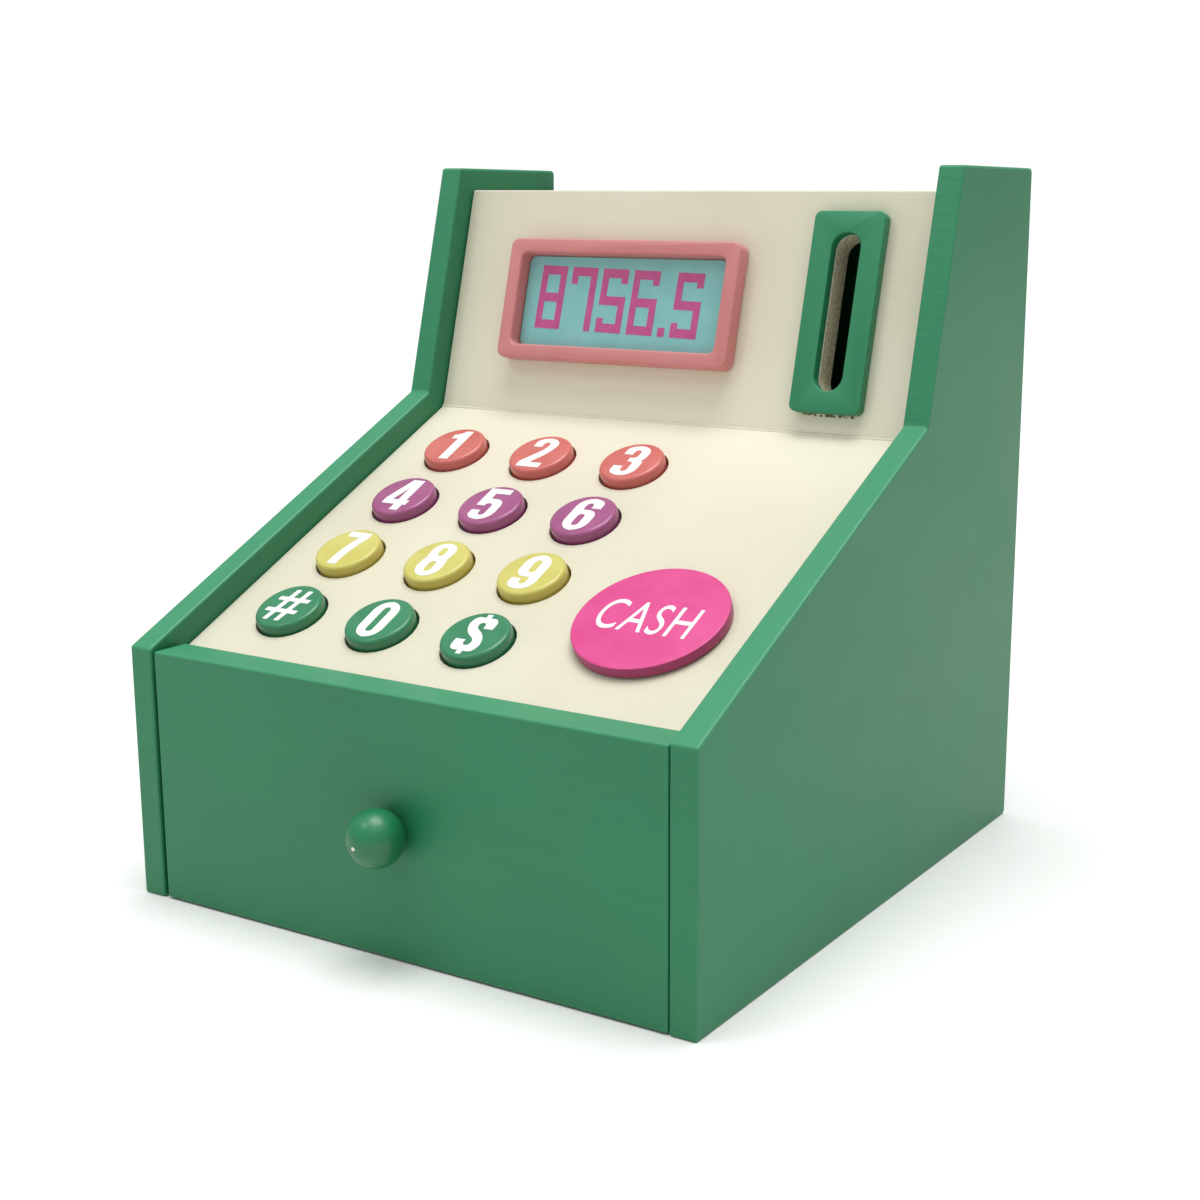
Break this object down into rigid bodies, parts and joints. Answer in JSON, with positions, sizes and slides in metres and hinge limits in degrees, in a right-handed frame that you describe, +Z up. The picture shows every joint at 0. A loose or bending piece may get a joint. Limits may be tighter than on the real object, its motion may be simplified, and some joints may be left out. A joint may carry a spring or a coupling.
{
  "type": "toy cash register",
  "caption": "Wooden toy cash register with sprung number keys and a round cash key on a sloping keypad, a framed display, a card slot and a sliding drawer with a ball knob.",
  "frame": {"origin": "middle of the footprint of the whole toy, knob included, on the surface that it stands on", "axes": "+Z up, -Y towards the drawer's front, +X to the right of someone facing the keypad"},
  "size_m": [0.19, 0.217, 0.211],
  "materials": {
    "green_paint": "satin green paint on board",
    "cream_paint": "satin cream paint on board",
    "pink_paint": "satin dusty pink paint on wood",
    "printed_card": "teal printed card, stands for a display",
    "green_gloss": "glossier green paint on a turned knob",
    "bare_wood": "unpainted wood",
    "zinc_screw": "bright zinc plate",
    "spring_steel": "bright spring wire",
    "cash_pink": "smooth hot pink paint",
    "key_green": "smooth green paint",
    "key_yellow": "smooth yellow paint",
    "key_purple": "smooth purple paint",
    "key_coral": "smooth coral paint"
  },
  "bodies": {
    "casing": {"side_panel_left": "green_paint", "side_panel_right": "green_paint", "back_panel": "green_paint", "base_panel": "green_paint", "top_panel": "cream_paint", "keypad_panel": "cream_paint", "display_panel": "cream_paint", "display_frame": "pink_paint", "display_card": "printed_card", "card_slot_frame": "green_paint", "spring_board": "bare_wood", "spring_board_cleat_left": "bare_wood", "spring_board_cleat_right": "bare_wood", "drawer_runner_left": "bare_wood", "drawer_runner_right": "bare_wood", "back_screw_1": "zinc_screw", "back_screw_2": "zinc_screw", "back_screw_3": "zinc_screw", "back_screw_4": "zinc_screw", "cash_spring": "spring_steel", "button_spring_hash": "spring_steel", "button_spring_0": "spring_steel", "button_spring_dollar": "spring_steel", "button_spring_7": "spring_steel", "button_spring_8": "spring_steel", "button_spring_9": "spring_steel", "button_spring_4": "spring_steel", "button_spring_5": "spring_steel", "button_spring_6": "spring_steel", "button_spring_1": "spring_steel", "button_spring_2": "spring_steel", "button_spring_3": "spring_steel"},
    "drawer": {"drawer_front": "green_paint", "drawer_side_left": "bare_wood", "drawer_side_right": "bare_wood", "drawer_back": "bare_wood", "drawer_bottom": "bare_wood", "drawer_divider": "bare_wood", "drawer_knob": "green_gloss", "knob_screw": "zinc_screw"},
    "cash_key": {"cash_button": "cash_pink", "cash_collar": "bare_wood"},
    "key_hash": {"button_hash": "key_green"},
    "key_0": {"button_0": "key_green"},
    "key_dollar": {"button_dollar": "key_green"},
    "key_7": {"button_7": "key_yellow"},
    "key_8": {"button_8": "key_yellow"},
    "key_9": {"button_9": "key_yellow"},
    "key_4": {"button_4": "key_purple"},
    "key_5": {"button_5": "key_purple"},
    "key_6": {"button_6": "key_purple"},
    "key_1": {"button_1": "key_coral"},
    "key_2": {"button_2": "key_coral"},
    "key_3": {"button_3": "key_coral"}
  },
  "joints": [
    {"name": "drawer_slide", "type": "slide", "parent": "casing", "child": "drawer", "axis": [0, -1, 0], "range_m": [0, 0.13]},
    {"name": "press_hash", "type": "slide", "parent": "casing", "child": "key_hash", "axis": [0, 0.4384, -0.8988], "range_m": [0, 0.0028], "stiffness_N_per_m": 180, "springref_m": -0.002, "deforming": ["button_spring_hash"]},
    {"name": "press_0", "type": "slide", "parent": "casing", "child": "key_0", "axis": [0, 0.4384, -0.8988], "range_m": [0, 0.0028], "stiffness_N_per_m": 180, "springref_m": -0.002, "deforming": ["button_spring_0"]},
    {"name": "press_dollar", "type": "slide", "parent": "casing", "child": "key_dollar", "axis": [0, 0.4384, -0.8988], "range_m": [0, 0.0028], "stiffness_N_per_m": 180, "springref_m": -0.002, "deforming": ["button_spring_dollar"]},
    {"name": "press_7", "type": "slide", "parent": "casing", "child": "key_7", "axis": [0, 0.4384, -0.8988], "range_m": [0, 0.0028], "stiffness_N_per_m": 180, "springref_m": -0.002, "deforming": ["button_spring_7"]},
    {"name": "press_8", "type": "slide", "parent": "casing", "child": "key_8", "axis": [0, 0.4384, -0.8988], "range_m": [0, 0.0028], "stiffness_N_per_m": 180, "springref_m": -0.002, "deforming": ["button_spring_8"]},
    {"name": "press_9", "type": "slide", "parent": "casing", "child": "key_9", "axis": [0, 0.4384, -0.8988], "range_m": [0, 0.0028], "stiffness_N_per_m": 180, "springref_m": -0.002, "deforming": ["button_spring_9"]},
    {"name": "press_4", "type": "slide", "parent": "casing", "child": "key_4", "axis": [0, 0.4384, -0.8988], "range_m": [0, 0.0028], "stiffness_N_per_m": 180, "springref_m": -0.002, "deforming": ["button_spring_4"]},
    {"name": "press_5", "type": "slide", "parent": "casing", "child": "key_5", "axis": [0, 0.4384, -0.8988], "range_m": [0, 0.0028], "stiffness_N_per_m": 180, "springref_m": -0.002, "deforming": ["button_spring_5"]},
    {"name": "press_6", "type": "slide", "parent": "casing", "child": "key_6", "axis": [0, 0.4384, -0.8988], "range_m": [0, 0.0028], "stiffness_N_per_m": 180, "springref_m": -0.002, "deforming": ["button_spring_6"]},
    {"name": "press_1", "type": "slide", "parent": "casing", "child": "key_1", "axis": [0, 0.4384, -0.8988], "range_m": [0, 0.0028], "stiffness_N_per_m": 180, "springref_m": -0.002, "deforming": ["button_spring_1"]},
    {"name": "press_2", "type": "slide", "parent": "casing", "child": "key_2", "axis": [0, 0.4384, -0.8988], "range_m": [0, 0.0028], "stiffness_N_per_m": 180, "springref_m": -0.002, "deforming": ["button_spring_2"]},
    {"name": "press_3", "type": "slide", "parent": "casing", "child": "key_3", "axis": [0, 0.4384, -0.8988], "range_m": [0, 0.0028], "stiffness_N_per_m": 180, "springref_m": -0.002, "deforming": ["button_spring_3"]},
    {"name": "press_cash", "type": "slide", "parent": "casing", "child": "cash_key", "axis": [0, 0.4384, -0.8988], "range_m": [0, 0.0005], "stiffness_N_per_m": 300, "springref_m": -0.002, "deforming": ["cash_spring"]}
  ]
}
